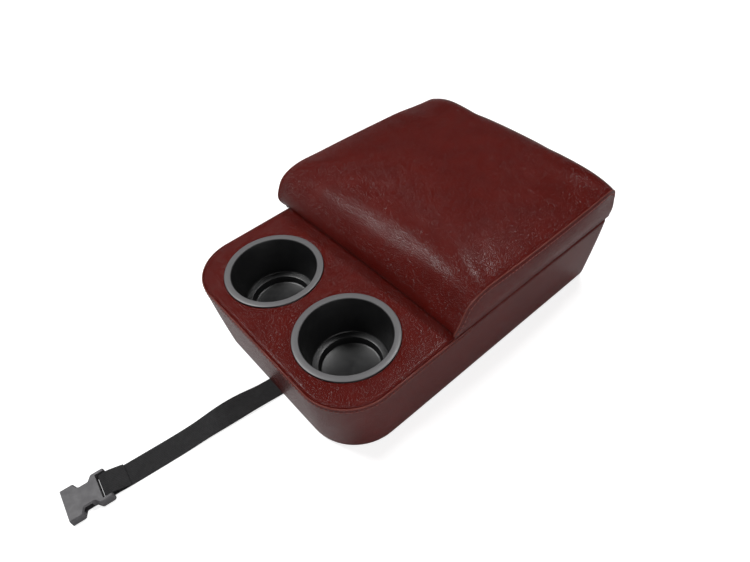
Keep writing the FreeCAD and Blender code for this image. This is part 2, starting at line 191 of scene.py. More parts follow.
# node helpers
def addNode(tree, kind, place=(0, 0), **values):
    made = tree.nodes.new(kind)
    made.location = place
    for key, value in values.items():
        setattr(made, key, value)
    return made


def fill(node, values):
    for key, value in values.items():
        node.inputs[key].default_value = value


def wire(tree, source, output, target, socket):
    tree.links.new(source.outputs[output], target.inputs[socket])


def newGroup(name, inputs, outputs):
    tree = bpy.data.node_groups.new(name, "ShaderNodeTree")
    tree.interface.new_socket("Vector", in_out="INPUT", socket_type="NodeSocketVector")
    for label, start in inputs.items():
        socket = tree.interface.new_socket(label, in_out="INPUT", socket_type="NodeSocketFloat")
        socket.default_value = start
    for label in outputs:
        tree.interface.new_socket(label, in_out="OUTPUT", socket_type="NodeSocketFloat")
    return tree, addNode(tree, "NodeGroupInput", (-900, 0)), addNode(tree, "NodeGroupOutput", (700, 0))


def useGroup(tree, group, place, coords, space="Object", **values):
    made = addNode(tree, "ShaderNodeGroup", place, node_tree=group)
    fill(made, values)
    wire(tree, coords, space, made, "Vector")
    return made


def mathNode(tree, operation, place, **inputs):
    made = addNode(tree, "ShaderNodeMath", place, operation=operation)
    for key, value in inputs.items():
        made.inputs[int(key[1:])].default_value = value
    return made


def noiseNode(tree, source, output, place, values):
    made = addNode(tree, "ShaderNodeTexNoise", place)
    fill(made, values)
    wire(tree, source, output, made, "Vector")
    return made


grainShape = {"warpScale": 320, "creaseWidth": 0.22, "dome": 0.45}


# pebbled grain pressed into vinyl: rounded cells with creases between them
def makePebbleGrain():
    tree, start, end = newGroup("pebbleGrain", {"Cells": 600.0, "Stretch": 0.35}, ("Height", "Crease"))
    warp = noiseNode(tree, start, "Vector", (-700, -200), {"Scale": grainShape["warpScale"], "Detail": 2})
    centred = addNode(tree, "ShaderNodeVectorMath", (-550, -200), operation="SUBTRACT")
    centred.inputs[1].default_value = (0.5, 0.5, 0.5)
    scaled = addNode(tree, "ShaderNodeVectorMath", (-420, -200), operation="SCALE")
    perCell = mathNode(tree, "DIVIDE", (-550, -380))
    bent = addNode(tree, "ShaderNodeVectorMath", (-280, 0), operation="ADD")
    cells = addNode(tree, "ShaderNodeTexVoronoi", (-120, 120), feature="F1")
    edges = addNode(tree, "ShaderNodeTexVoronoi", (-120, -180), feature="DISTANCE_TO_EDGE")
    ramp = addNode(tree, "ShaderNodeMapRange", (60, -180), interpolation_type="SMOOTHSTEP")
    fill(ramp, {"From Max": grainShape["creaseWidth"]})
    dome = mathNode(tree, "MULTIPLY_ADD", (60, 120), i1=-grainShape["dome"], i2=grainShape["dome"])
    total = mathNode(tree, "ADD", (260, 0))
    crease = mathNode(tree, "SUBTRACT", (260, -220), i0=1.0)
    wire(tree, warp, "Color", centred, 0)
    wire(tree, centred, 0, scaled, 0)
    wire(tree, start, "Stretch", perCell, 0)
    wire(tree, start, "Cells", perCell, 1)
    wire(tree, perCell, 0, scaled, "Scale")
    wire(tree, start, "Vector", bent, 0)
    wire(tree, scaled, 0, bent, 1)
    for voronoi in (cells, edges):
        wire(tree, bent, 0, voronoi, "Vector")
        wire(tree, start, "Cells", voronoi, "Scale")
    wire(tree, edges, "Distance", ramp, "Value")
    wire(tree, cells, "Distance", dome, 0)
    wire(tree, dome, 0, total, 0)
    wire(tree, ramp, "Result", total, 1)
    wire(tree, ramp, "Result", crease, 1)
    wire(tree, total, 0, end, "Height")
    wire(tree, crease, 0, end, "Crease")
    return tree


# slow cloudy change over a surface, for colour and gloss
def makeMottle():
    tree, start, end = newGroup("mottle", {"Scale": 20.0, "Low": 0.0, "High": 1.0}, ("Value",))
    cloud = noiseNode(tree, start, "Vector", (-400, 0), {"Detail": 5, "Roughness": 0.6})
    spread = addNode(tree, "ShaderNodeMapRange", (0, 0))
    fill(spread, {"From Min": 0.3, "From Max": 0.7})
    wire(tree, start, "Scale", cloud, "Scale")
    wire(tree, cloud, "Fac", spread, "Value")
    wire(tree, start, "Low", spread, "To Min")
    wire(tree, start, "High", spread, "To Max")
    wire(tree, spread, "Result", end, "Value")
    return tree


# crossing threads of webbing, on a UV map
def makeWeave():
    tree, start, end = newGroup("weave", {"Warp": 40.0, "Weft": 200.0}, ("Height",))
    parts = addNode(tree, "ShaderNodeSeparateXYZ", (-700, 0))
    wire(tree, start, "Vector", parts, 0)
    waves = []
    for axis, count, row in (("X", "Weft", 150), ("Y", "Warp", -150)):
        times = mathNode(tree, "MULTIPLY", (-520, row))
        angle = mathNode(tree, "MULTIPLY", (-380, row), i1=math.pi)
        wave = mathNode(tree, "SINE", (-240, row))
        wire(tree, parts, axis, times, 0)
        wire(tree, start, count, times, 1)
        wire(tree, times, 0, angle, 0)
        wire(tree, angle, 0, wave, 0)
        waves.append(wave)
    weft, warp = waves
    over = mathNode(tree, "MULTIPLY", (-60, 0))
    rounded = mathNode(tree, "ABSOLUTE", (-60, -200))
    mixed = mathNode(tree, "MULTIPLY_ADD", (140, 0), i1=0.5)
    wire(tree, weft, 0, over, 0)
    wire(tree, warp, 0, over, 1)
    wire(tree, warp, 0, rounded, 0)
    wire(tree, over, 0, mixed, 0)
    wire(tree, rounded, 0, mixed, 2)
    wire(tree, mixed, 0, end, "Height")
    return tree


pebbleGrain = makePebbleGrain()
mottle = makeMottle()
weave = makeWeave()


def newMaterial(name, roughness, metallic=0.0):
    material = bpy.data.materials.new(name)
    material.use_nodes = True
    tree = material.node_tree
    shader = tree.nodes["Principled BSDF"]
    fill(shader, {"Roughness": roughness, "Metallic": metallic})
    coords = addNode(tree, "ShaderNodeTexCoord", (-1200, 0))
    return material, tree, shader, coords


def twoColors(tree, shader, source, output, look):
    mix = addNode(tree, "ShaderNodeMix", (-250, 250), data_type="RGBA")
    fill(mix, {"A": (*look["dark"], 1), "B": (*look["light"], 1)})
    wire(tree, source, output, mix, "Factor")
    wire(tree, mix, "Result", shader, "Base Color")


def bumpFrom(tree, shader, source, output, strength, distance, before=None):
    bump = addNode(tree, "ShaderNodeBump", (-250, -300))
    fill(bump, {"Strength": strength, "Distance": distance})
    wire(tree, source, output, bump, "Height")
    if before:
        wire(tree, before, "Normal", bump, "Normal")
    wire(tree, bump, "Normal", shader, "Normal")
    return bump


def varyRough(tree, coords, shader, scale, low, high):
    made = useGroup(tree, mottle, (-600, -600), coords, Scale=scale, Low=low, High=high)
    wire(tree, made, "Value", shader, "Roughness")


# vinyl: the welts take a paler copy of the same cloth, a painted highlight along each seam's ridge
vinylLook = {"dark": (0.076, 0.0036, 0.0020), "light": (0.098, 0.0054, 0.0030), "gloss": 0.24,
             "cloudScale": 34.0, "cloudLow": 0.15, "creaseShade": 0.35,
             "roughLow": 0.20, "roughHigh": 0.26, "roughScale": 60.0,
             "cells": 720.0, "stretch": 0.5, "grainStrength": 0.6, "grainDepth": 0.00030,
             "rippleScale": 95, "rippleStrength": 0.35, "rippleDepth": 0.0005}
weltHighlightLook = {**vinylLook, "dark": (0.13, 0.026, 0.019), "light": (0.21, 0.056, 0.044)}


def makeVinyl(name, look):
    material, tree, shader, coords = newMaterial(name, look["roughHigh"])
    grain = useGroup(tree, pebbleGrain, (-800, -250), coords, Cells=look["cells"], Stretch=look["stretch"])
    clouds = useGroup(tree, mottle, (-800, 300), coords, Scale=look["cloudScale"], Low=look["cloudLow"], High=1.0)
    creaseShade = mathNode(tree, "MULTIPLY", (-600, 150), i1=look["creaseShade"])
    tone = mathNode(tree, "SUBTRACT", (-450, 250))
    tone.use_clamp = True
    wire(tree, grain, "Crease", creaseShade, 0)
    wire(tree, clouds, "Value", tone, 0)
    wire(tree, creaseShade, 0, tone, 1)
    twoColors(tree, shader, tone, 0, look)
    varyRough(tree, coords, shader, look["roughScale"], look["roughLow"], look["roughHigh"])
    ripple = noiseNode(tree, coords, "Object", (-800, -600),
                       {"Scale": look["rippleScale"], "Detail": 3, "Distortion": 0.8})
    soft = bumpFrom(tree, shader, ripple, "Fac", look["rippleStrength"], look["rippleDepth"])
    bumpFrom(tree, shader, grain, "Height", look["grainStrength"], look["grainDepth"], soft)
    fill(shader, {"Specular IOR Level": look["gloss"]})
    return material


threadLook = {"dark": (0.14, 0.028, 0.020), "light": (0.26, 0.062, 0.048), "rough": 0.6, "cloudScale": 400.0}


def makeThread():
    material, tree, shader, coords = newMaterial("seamThread", threadLook["rough"])
    clouds = useGroup(tree, mottle, (-600, 250), coords, Scale=threadLook["cloudScale"], Low=0.0, High=1.0)
    twoColors(tree, shader, clouds, "Value", threadLook)
    return material


# moulded plastics: a fine sand grain and a little change of gloss
plasticLook = {"cloudScale": 45.0, "roughScale": 130.0, "roughLess": 0.05, "roughMore": 0.06,
               "sandScale": 1500, "sandDepth": 0.0003}
# the well's dark and light tones are painted shade; the paler flange tone, laid on by height, is painted light
cupLook = {"dark": (0.008, 0.008, 0.0085), "light": (0.013, 0.013, 0.0135), "rough": 0.38, "sand": 0.12,
           "flange": (0.135, 0.133, 0.136), "litFlangeFrom": 0.0924, "litFlangeTo": 0.0930}
buckleLook = {"dark": (0.060, 0.057, 0.062), "light": (0.085, 0.081, 0.087), "rough": 0.5, "sand": 0.25}


def makePlastic(name, look):
    material, tree, shader, coords = newMaterial(name, look["rough"])
    clouds = useGroup(tree, mottle, (-800, 300), coords, Scale=plasticLook["cloudScale"], Low=0.0, High=1.0)
    twoColors(tree, shader, clouds, "Value", look)
    varyRough(tree, coords, shader, plasticLook["roughScale"], look["rough"] - plasticLook["roughLess"],
              look["rough"] + plasticLook["roughMore"])
    sand = noiseNode(tree, coords, "Object", (-800, -300), {"Scale": plasticLook["sandScale"], "Detail": 2})
    bumpFrom(tree, shader, sand, "Fac", look["sand"], plasticLook["sandDepth"])
    return material


# the cup is one moulding of one plastic; painted light makes the flange paler and painted shade keeps the well dark
def makeCupPlastic():
    material = makePlastic("cupPlastic", cupLook)
    tree = material.node_tree
    shader = tree.nodes["Principled BSDF"]
    well = shader.inputs["Base Color"].links[0].from_node
    coords = next(node for node in tree.nodes if node.type == "TEX_COORD")
    parts = addNode(tree, "ShaderNodeSeparateXYZ", (-900, 600))
    # above this height the paler flange tone is painted light, below it the well's darkness is painted shade
    flange = addNode(tree, "ShaderNodeMapRange", (-700, 600), interpolation_type="SMOOTHSTEP")
    fill(flange, {"From Min": cupLook["litFlangeFrom"], "From Max": cupLook["litFlangeTo"]})
    mix = addNode(tree, "ShaderNodeMix", (-100, 500), data_type="RGBA")
    fill(mix, {"B": (*cupLook["flange"], 1)})
    wire(tree, coords, "Object", parts, 0)
    wire(tree, parts, "Z", flange, "Value")
    wire(tree, flange, "Result", mix, "Factor")
    wire(tree, well, "Result", mix, "A")
    wire(tree, mix, "Result", shader, "Base Color")
    return material


webbingLook = {"dark": (0.006, 0.006, 0.0065), "light": (0.024, 0.023, 0.025), "warp": 15.0, "weft": 150.0,
               "cloudScale": 120.0, "cloudHigh": 0.5, "threadShade": 0.4, "roughScale": 200.0, "roughLow": 0.6,
               "roughHigh": 0.8, "strength": 0.6, "depth": 0.0005, "sheen": 0.04}


def makeWebbing():
    look = webbingLook
    material, tree, shader, coords = newMaterial("strapWebbing", look["roughHigh"])
    threads = useGroup(tree, weave, (-800, -250), coords, "UV", Warp=look["warp"], Weft=look["weft"])
    clouds = useGroup(tree, mottle, (-800, 300), coords, Scale=look["cloudScale"], Low=0.0, High=look["cloudHigh"])
    shade = mathNode(tree, "MULTIPLY_ADD", (-600, 200), i1=look["threadShade"])
    wire(tree, threads, "Height", shade, 0)
    wire(tree, clouds, "Value", shade, 2)
    twoColors(tree, shader, shade, 0, look)
    varyRough(tree, coords, shader, look["roughScale"], look["roughLow"], look["roughHigh"])
    bumpFrom(tree, shader, threads, "Height", look["strength"], look["depth"])
    fill(shader, {"Sheen Weight": look["sheen"]})
    return material


# felt, backing cloth and the liner under the base
feltLook = {"dark": (0.012, 0.012, 0.012), "light": (0.035, 0.034, 0.034), "scale": 900, "depth": 0.0008,
            "rough": 0.9}
backingLook = {"dark": (0.014, 0.013, 0.013), "light": (0.030, 0.028, 0.028), "scale": 1400, "depth": 0.0004,
               "rough": 0.8}
linerLook = {"dark": (0.018, 0.018, 0.018), "light": (0.04, 0.04, 0.04), "scale": 500, "depth": 0.0006,
             "rough": 0.8}
fibreShape = {"detail": 6, "curl": 2.5, "strength": 0.7, "roughScale": 40.0, "roughLess": 0.08, "roughMore": 0.05}


def makeFibre(name, look):
    material, tree, shader, coords = newMaterial(name, look["rough"])
    fibres = noiseNode(tree, coords, "Object", (-800, -250), {"Scale": look["scale"], "Detail": fibreShape["detail"],
                                                              "Distortion": fibreShape["curl"]})
    twoColors(tree, shader, fibres, "Fac", look)
    varyRough(tree, coords, shader, fibreShape["roughScale"], look["rough"] - fibreShape["roughLess"],
              look["rough"] + fibreShape["roughMore"])
    bumpFrom(tree, shader, fibres, "Fac", fibreShape["strength"], look["depth"])
    return material


# plywood and brushed steel: one noise, drawn out along the grain
plywoodLook = {"dark": (0.30, 0.19, 0.10), "light": (0.56, 0.41, 0.25), "metal": 0.0, "drawn": (60, 6, 140),
               "scale": 1.5, "detail": 6, "roughScale": 30.0, "roughLow": 0.55, "roughHigh": 0.75,
               "strength": 0.3, "depth": 0.0004}
steelLook = {"dark": (0.42, 0.42, 0.41), "light": (0.66, 0.66, 0.65), "metal": 1.0, "drawn": (40, 900, 900),
             "scale": 1.0, "detail": 4, "roughScale": 90.0, "roughLow": 0.28, "roughHigh": 0.45,
             "strength": 0.2, "depth": 0.0002}


def makeGrained(name, look):
    material, tree, shader, coords = newMaterial(name, look["roughHigh"], look["metal"])
    drawn = addNode(tree, "ShaderNodeMapping", (-1000, 0))
    fill(drawn, {"Scale": look["drawn"]})
    wire(tree, coords, "Object", drawn, "Vector")
    grain = noiseNode(tree, drawn, "Vector", (-800, 0), {"Scale": look["scale"], "Detail": look["detail"]})
    twoColors(tree, shader, grain, "Fac", look)
    varyRough(tree, coords, shader, look["roughScale"], look["roughLow"], look["roughHigh"])
    bumpFrom(tree, shader, grain, "Fac", look["strength"], look["depth"])
    return material


vinyl = makeVinyl("oxbloodVinyl", vinylLook)
weltHighlightVinyl = makeVinyl("weltHighlightVinyl", weltHighlightLook)
thread = makeThread()
cupPlastic = makeCupPlastic()
bucklePlastic = makePlastic("bucklePlastic", buckleLook)
webbing = makeWebbing()
felt = makeFibre("boxFelt", feltLook)
backing = makeFibre("lidBacking", backingLook)
linerRubber = makeFibre("linerRubber", linerLook)
plywood = makeGrained("plywood", plywoodLook)
steel = makeGrained("hingeSteel", steelLook)
print("materials ready")


# strap: webbing along its route, folded round the buckle's bar
# the route is distance along the strap's way and height; the strap rolls a little where it hangs free
strap = {"yaw": 6.0, "exit": (0.0, -0.18135, 0.0), "width": 0.025, "thick": 0.0015, "length": 0.2278,
         "route": [(-0.016, 0.00125), (0.010, 0.00125), (0.038, 0.0046), (0.068, 0.0042), (0.102, 0.0008),
                   (0.142, 0.0008), (0.164, 0.0009), (0.174, 0.0018), (0.182, 0.00195), (0.1858, 0.0024),
                   (0.1858, 0.0076), (0.182, 0.00805), (0.176, 0.0079), (0.163, 0.0029)],
         "roll": -13.0, "rollFrom": 0.012, "rollTo": 0.092, "foldFrom": 0.19,
         "columns": 13, "edgeThin": 0.5, "edgePower": 24, "smoothSteps": 16}


def strapWay():
    turn = math.radians(strap["yaw"])
    along = Vector((-math.sin(turn), -math.cos(turn), 0))
    across = Vector((math.cos(turn), -math.sin(turn), 0))
    return along, across


def strapLine():
    along, _ = strapWay()
    curve = bpy.data.curves.new("strapRoute", "CURVE")
    curve.dimensions = "3D"
    curve.resolution_u = strap["smoothSteps"]
    spline = curve.splines.new("NURBS")
    spline.points.add(len(strap["route"]) - 1)
    for point, (distance, height) in zip(spline.points, strap["route"]):
        place = Vector(strap["exit"]) + along * distance
        point.co = (place.x, place.y, height, 1)
    spline.order_u = 3
    spline.use_endpoint_u = True
    holder = bpy.data.objects.new("strapRoute", curve)
    bpy.context.scene.collection.objects.link(holder)
    bpy.context.view_layer.update()
    mesh = bpy.data.meshes.new_from_object(holder)
    line = [v.co.copy() for v in mesh.vertices]
    bpy.data.objects.remove(holder)
    bpy.data.meshes.remove(mesh)
    return line


# top from edge to edge, then back below, with thin rounded sides
def strapSection():
    top = []
    for i in range(strap["columns"]):
        x = 2 * i / (strap["columns"] - 1) - 1
        top.append((x, 1 - strap["edgeThin"] * abs(x) ** strap["edgePower"]))
    return top + [(x, -z) for x, z in reversed(top)]


def strapRoll(distance):
    part = (distance - strap["rollFrom"]) / (strap["rollTo"] - strap["rollFrom"])
    return math.sin(math.pi * min(1, max(0, part))) ** 2 * math.radians(strap["roll"])


def makeStrap():
    line = strapLine()
    along, across = strapWay()
    section = strapSection()
    wide, thick, columns = strap["width"] / 2, strap["thick"] / 2, strap["columns"]
    mesh = bmesh.new()
    uvLayer = mesh.loops.layers.uv.new("UVMap")
    rings, lengths = [], [0.0]
    for a, b in zip(line, line[1:]):
        lengths.append(lengths[-1] + (b - a).length)
    for i, place in enumerate(line):
        tangent = (line[min(len(line) - 1, i + 1)] - line[max(0, i - 1)]).normalized()
        up = tangent.cross(across).normalized()
        distance = (place - Vector(strap["exit"])).dot(along)
        turned = Matrix.Rotation(0 if lengths[i] > strap["foldFrom"] else strapRoll(distance), 3, tangent)
        side, over = turned @ across, turned @ up
        rings.append([mesh.verts.new(place + side * (x * wide) + over * (z * thick)) for x, z in section])
    count = len(section)
    for i in range(len(rings) - 1):
        for k in range(count):
            nextK = (k + 1) % count
            face = mesh.faces.new((rings[i][k], rings[i][nextK], rings[i + 1][nextK], rings[i + 1][k]))
            for loop, (row, column) in zip(face.loops, ((i, k), (i, k + 1), (i + 1, k + 1), (i + 1, k))):
                share = min(column, count - column) / columns
                loop[uvLayer].uv = (lengths[row] / strap["width"], share)
    mesh.faces.new(list(reversed(rings[0])))
    mesh.faces.new(rings[-1])
    bmesh.ops.recalc_face_normals(mesh, faces=mesh.faces)
    data = bpy.data.meshes.new("strapWebbing")
    mesh.to_mesh(data)
    mesh.free()
    obj = bpy.data.objects.new("strapWebbing", data)
    bpy.context.scene.collection.objects.link(obj)
    smooth(obj, 35)
    dress(obj, webbing, "webbing", "console_body", "strap")
    print("strap", round(lengths[-1] * 1000, 1), "mm")


makeStrap()


# skirt: vinyl round the walls, turned over the rim of the storage box and under the base
# turnOver is how far in from the wall, and the height
skirt = {"frontCorner": 0.052, "frontSteps": 16, "rearCorner": 0.007, "rearSteps": 5, "roll": 0.006, "rollSteps": 5,
         "hem": 0.020, "vinyl": 0.0012, "pitch": 0.008, "firstRow": 0.008, "wallTop": 0.0866, "topRow": 0.0032,
         "turnOver": [(0.0003, 0.0878), (0.0012, 0.0886), (0.0028, 0.0890), (0.0064, 0.0890), (0.0073, 0.0885),
                      (0.0078, 0.0832)],
         "deckCut": 0.0014, "deckCutIn": 0.0028, "deckCutLow": 0.0828,
         "pucker": 0.00025, "puckerScale": (22, 25), "puckerRun": 0.03, "drift": 0.0005, "driftScale": (9, 14),
         "belly": 0.0006}


# how far a place is in from the box's outline, past its rounded front corners
def edgeDistance(x, y):
    corner = body["front"] + skirt["frontCorner"]
    reach = body["half"] - skirt["frontCorner"]
    if y < corner and abs(x) > reach:
        return skirt["frontCorner"] - math.hypot(abs(x) - reach, y - corner)
    return min(body["half"] - abs(x), y - body["front"])


# grows along a seam, whichever way the seam runs
def seamRun(co):
    return co.x * 3 + co.y * 3


def makeSkirt():
    half, front, rear, low = body["half"], body["front"], body["rear"], body["low"]
    middle = (front + rear) / 2
    depth = (rear - front) / 2
    top = skirt["wallTop"]
    obj = slab("skirtVinyl", (-half, front, low), (half, rear, top))
    enterEdit(obj)
    inset = body["lean"] * (top - low) / body["rim"]
    pick(obj, "VERT", lambda v: v.co.z < low + hair)
    bpy.ops.transform.resize(value=((half - inset) / half, (depth - inset) / depth, 1),
                             center_override=(0, middle, low))
    for way, end in ((-1, "front"), (1, "rear")):
        pick(obj, "EDGE", lambda e: upright(e) and way * (e.verts[0].co.y + e.verts[1].co.y) > 0)
        bpy.ops.mesh.bevel(offset=skirt[end + "Corner"], segments=skirt[end + "Steps"], affect="EDGES")
    pick(obj, "EDGE", lambda e: atFoot(e, low))
    bpy.ops.mesh.bevel(offset=skirt["roll"], segments=skirt["rollSteps"], affect="EDGES")
    pick(obj, "FACE", lambda f: capFace(f, -1))
    bpy.ops.mesh.inset(thickness=skirt["hem"] - skirt["roll"])
    bpy.ops.mesh.delete(type="FACE")
    pick(obj, "FACE", lambda f: capFace(f, 1))
    bpy.ops.mesh.delete(type="ONLY_FACE")
    # the turn over the rim
    pick(obj, "EDGE", lambda e: atTop(e, top))
    last, lastZ = 0.0, top
    for inward, z in skirt["turnOver"]:
        bpy.ops.mesh.extrude_region_move(TRANSFORM_OT_translate={"value": (0, 0, z - lastZ)})
        bpy.ops.transform.resize(value=((half - inward) / (half - last), (depth - inward) / (depth - last), 1),
                                 center_override=(0, middle, z))
        last, lastZ = inward, z

    # the deck's own cover takes over in front of the storage box
    def underDeck(f):
        spot = f.calc_center_median()
        return (spot.z > skirt["deckCutLow"] and spot.y < body["deckRear"] + skirt["deckCut"]
                and edgeDistance(spot.x, spot.y) > skirt["deckCutIn"] and f.normal.z > -0.5)

    slices(1, [body["deckRear"] + skirt["deckCut"]])
    pick(obj, "FACE", underDeck)
    bpy.ops.mesh.delete(type="FACE")
    slices(0, steps(-half, half, skirt["pitch"]))
    slices(1, steps(front, rear, skirt["pitch"]))
    slices(2, steps(skirt["firstRow"], top, skirt["pitch"]))
    slices(2, [top - skirt["topRow"]])
    leaveEdit()
    tidyMesh(obj)
    faceOutward(obj, (half, 0, 0.05), (1, 0, 0))

    # puckers near the seam, slow drift and a slight belly in the walls
    def settle(co, normal):
        if co.z < skirt["roll"] or abs(normal.z) > 0.7:
            return Vector()
        near = max(0, 1 - (body["rim"] - co.z) / skirt["puckerRun"])
        run, rise = skirt["puckerScale"]
        pull = noise.noise(Vector((seamRun(co) * run, co.z * rise, 3.1))) * skirt["pucker"] * near ** 2
        run, rise = skirt["driftScale"]
        slow = noise.noise(Vector((co.x * run, co.y * run, co.z * rise + 7))) * skirt["drift"]
        belly = math.sin(math.pi * min(1, co.z / body["rim"])) * skirt["belly"]
        return normal * (pull + slow + belly)

    moveVerts(obj, settle)
    applyModifier(obj, "SOLIDIFY", thickness=skirt["vinyl"], offset=-1)
    smooth(obj, 45)
    dress(obj, vinyl, "vinyl", "console_body", "skirt_cover")
    print("skirt", len(obj.data.polygons), "faces")
    return obj


skirtVinyl = makeSkirt()


# deck: thin padded top with two cup holes, sewn to the skirt, and a flap into the storage box
deck = {"gap": 0.0006, "bottom": 0.0812, "top": 0.0903, "edge": 0.0042, "edgeSteps": 7, "cornerSteps": 18,
        "hole": 0.0474, "holeSteps": 112, "cutter": 0.05, "cutterZ": 0.085, "pitch": 0.006,
        "flapThick": 0.0012, "flapDrop": 0.018, "flapNarrow": 0.91, "still": 0.002,
        "crown": 0.0013, "crownRun": 0.030, "flange": 0.052, "press": 0.0014, "pressIn": 0.004, "pressRun": 0.010,
        "wave": 0.00035, "waveScale": 30, "waveRun": 0.02,
        "pucker": 0.00015, "puckerScale": 24, "puckerAt": 0.004, "puckerRun": 0.008}


def makeDeck():
    half, front = body["half"] - deck["gap"], body["front"] + deck["gap"]
    back = body["deckRear"] + deck["flapThick"]
    obj = slab("deckPad", (-half, front, deck["bottom"]), (half, back, deck["top"]))
    enterEdit(obj)
    pick(obj, "EDGE", lambda e: upright(e) and e.verts[0].co.y < front + hair)
    bpy.ops.mesh.bevel(offset=skirt["frontCorner"] - deck["gap"], segments=deck["cornerSteps"], affect="EDGES")
    pick(obj, "EDGE", lambda e: atTop(e, deck["top"]) and min(v.co.y for v in e.verts) <= back - hair)
    bpy.ops.mesh.bevel(offset=deck["edge"], segments=deck["edgeSteps"], affect="EDGES", profile=0.5)
    leaveEdit()
    for side in (-1, 1):
        deselectAll()
        bpy.ops.mesh.primitive_cylinder_add(vertices=deck["holeSteps"], radius=deck["hole"], depth=deck["cutter"],
                                            location=(side * body["cupX"], body["cupY"], deck["cutterZ"]))
        cutter = bpy.context.object
        applyModifier(obj, "BOOLEAN", object=cutter, operation="DIFFERENCE", solver="EXACT")
        bpy.data.objects.remove(cutter)
    enterEdit(obj)
    slices(1, [body["deckRear"]])
    pick(obj, "FACE", lambda f: f.normal.z < -0.9 and f.calc_center_median().y > body["deckRear"])
    bpy.ops.mesh.extrude_region_move(TRANSFORM_OT_translate={"value": (0, 0, -deck["flapDrop"])})
    bpy.ops.transform.resize(value=(deck["flapNarrow"], 1, 1), center_override=(0, back, 0))
    slices(0, steps(-half, half, deck["pitch"]))
    slices(1, steps(front, body["deckRear"], deck["pitch"]))
    leaveEdit()

    # crowned from its edges, pressed down round the cups, puckered beside the seam
    def pad(co, _):
        if co.z < deck["bottom"] + deck["still"]:
            return Vector()
        edge = edgeDistance(co.x, co.y)
        inward = max(0, edge)
        crown = deck["crown"] * (1 - (1 - min(1, inward / deck["crownRun"])) ** 2)
        away = min(math.hypot(co.x - side * body["cupX"], co.y - body["cupY"]) for side in (-1, 1))
        past = max(0, away - deck["flange"] + deck["pressIn"])
        press = -deck["press"] * max(0, 1 - past / deck["pressRun"]) ** 2
        wave = noise.noise(Vector((co.x * deck["waveScale"], co.y * deck["waveScale"], 1.7)))
        wave = wave * deck["wave"] * min(1, inward / deck["waveRun"])
        pull = noise.noise(Vector((seamRun(co) * deck["puckerScale"], 0.3, 5.2)))
        pull = pull * deck["pucker"] * max(0, 1 - abs(edge - deck["puckerAt"]) / deck["puckerRun"])
        return Vector((0, 0, crown + press + wave + pull))

    moveVerts(obj, pad)
    tidyMesh(obj)
    smooth(obj, 50)
    dress(obj, vinyl, "vinyl", "console_body", "deck_cover", "deck_foam")
    print("deck", len(obj.data.polygons), "faces")


makeDeck()


# lid cushion: one panel over nose, top and back, with side gussets; puffed by cloth pressure
# swells are uneven stuffing: centre, reach along x y z, push at the centre
lid = {"front": -0.05585, "rear": 0.18465, "low": 0.0912, "top": 0.1430, "sideShare": 0.815, "crownPower": 8.5,
       "noseLean": 0.023, "noseRadius": 0.036, "noseSteps": 12, "rearRadius": 0.020, "rearSteps": 8,
       "rollUnder": 0.007, "rollShare": 0.35, "rollRise": 0.0030, "noseFoot": 0.009, "noseStart": 0.001,
       "across": 46, "along": 68, "gussetRows": 7, "frames": 20, "cap": 0.007, "smoothTimes": 5, "swellRise": 0.012,
       "swells": [((-0.132, -0.030, 0.125), (0.060, 0.230, 0.060), (-0.0095, 0, 0)),
                  ((-0.140, -0.042, 0.120), (0.220, 0.055, 0.042), (-0.003, -0.009, 0)),
                  ((-0.132, 0.185, 0.135), (0.070, 0.070, 0.060), (0.003, 0.007, -0.004)),
                  ((0.000, 0.184, 0.138), (0.200, 0.050, 0.060), (0, 0.004, 0.004)),
                  ((0.132, 0.065, 0.134), (0.025, 0.180, 0.016), (0.0025, 0, 0)),
                  ((0.132, 0.065, 0.103), (0.020, 0.200, 0.018), (0.0040, 0, 0)),
                  ((-0.132, 0.065, 0.103), (0.020, 0.200, 0.018), (-0.0040, 0, 0))],
       "cloth": {"quality": 6, "mass": 0.3, "tension_stiffness": 20, "compression_stiffness": 20,
                 "shear_stiffness": 8, "bending_stiffness": 2, "use_pressure": True,
                 "uniform_pressure_force": 9.0, "vertex_group_mass": "pin"}}


def onCircle(angle, radius):
    return Vector((math.cos(angle), math.sin(angle))) * radius


def lidProfile():
    front, rear, low, top = lid["front"], lid["rear"], lid["low"], lid["top"]
    foot = Vector((front, low))
    nose = Vector((front + lid["noseLean"], top))
    slope = (nose - foot).normalized()
    bend = math.atan2(slope.y, slope.x)
    trim = lid["noseRadius"] * math.tan(bend / 2)
    centre = Vector((nose.x + trim, top - lid["noseRadius"]))
    points = [foot + Vector((lid["rollUnder"], 0)),
              foot + Vector((lid["rollUnder"] * lid["rollShare"], lid["rollRise"])),
              foot + Vector((0, lid["noseFoot"])) + slope * lid["noseStart"]]
    for i in range(lid["noseSteps"] + 1):
        points.append(centre + onCircle(math.pi / 2 + bend * (1 - i / lid["noseSteps"]), lid["noseRadius"]))
    radius = lid["rearRadius"]
    centre = Vector((rear - radius, top - radius))
    for i in range(lid["rearSteps"] + 1):
        points.append(centre + onCircle(math.pi / 2 * (1 - i / lid["rearSteps"]), radius))
    points.append(Vector((rear, low)))
    return evenly(points, lid["along"])


def inGroup(v, index, least):
    return any(g.group == index and g.weight > least for g in v.groups)


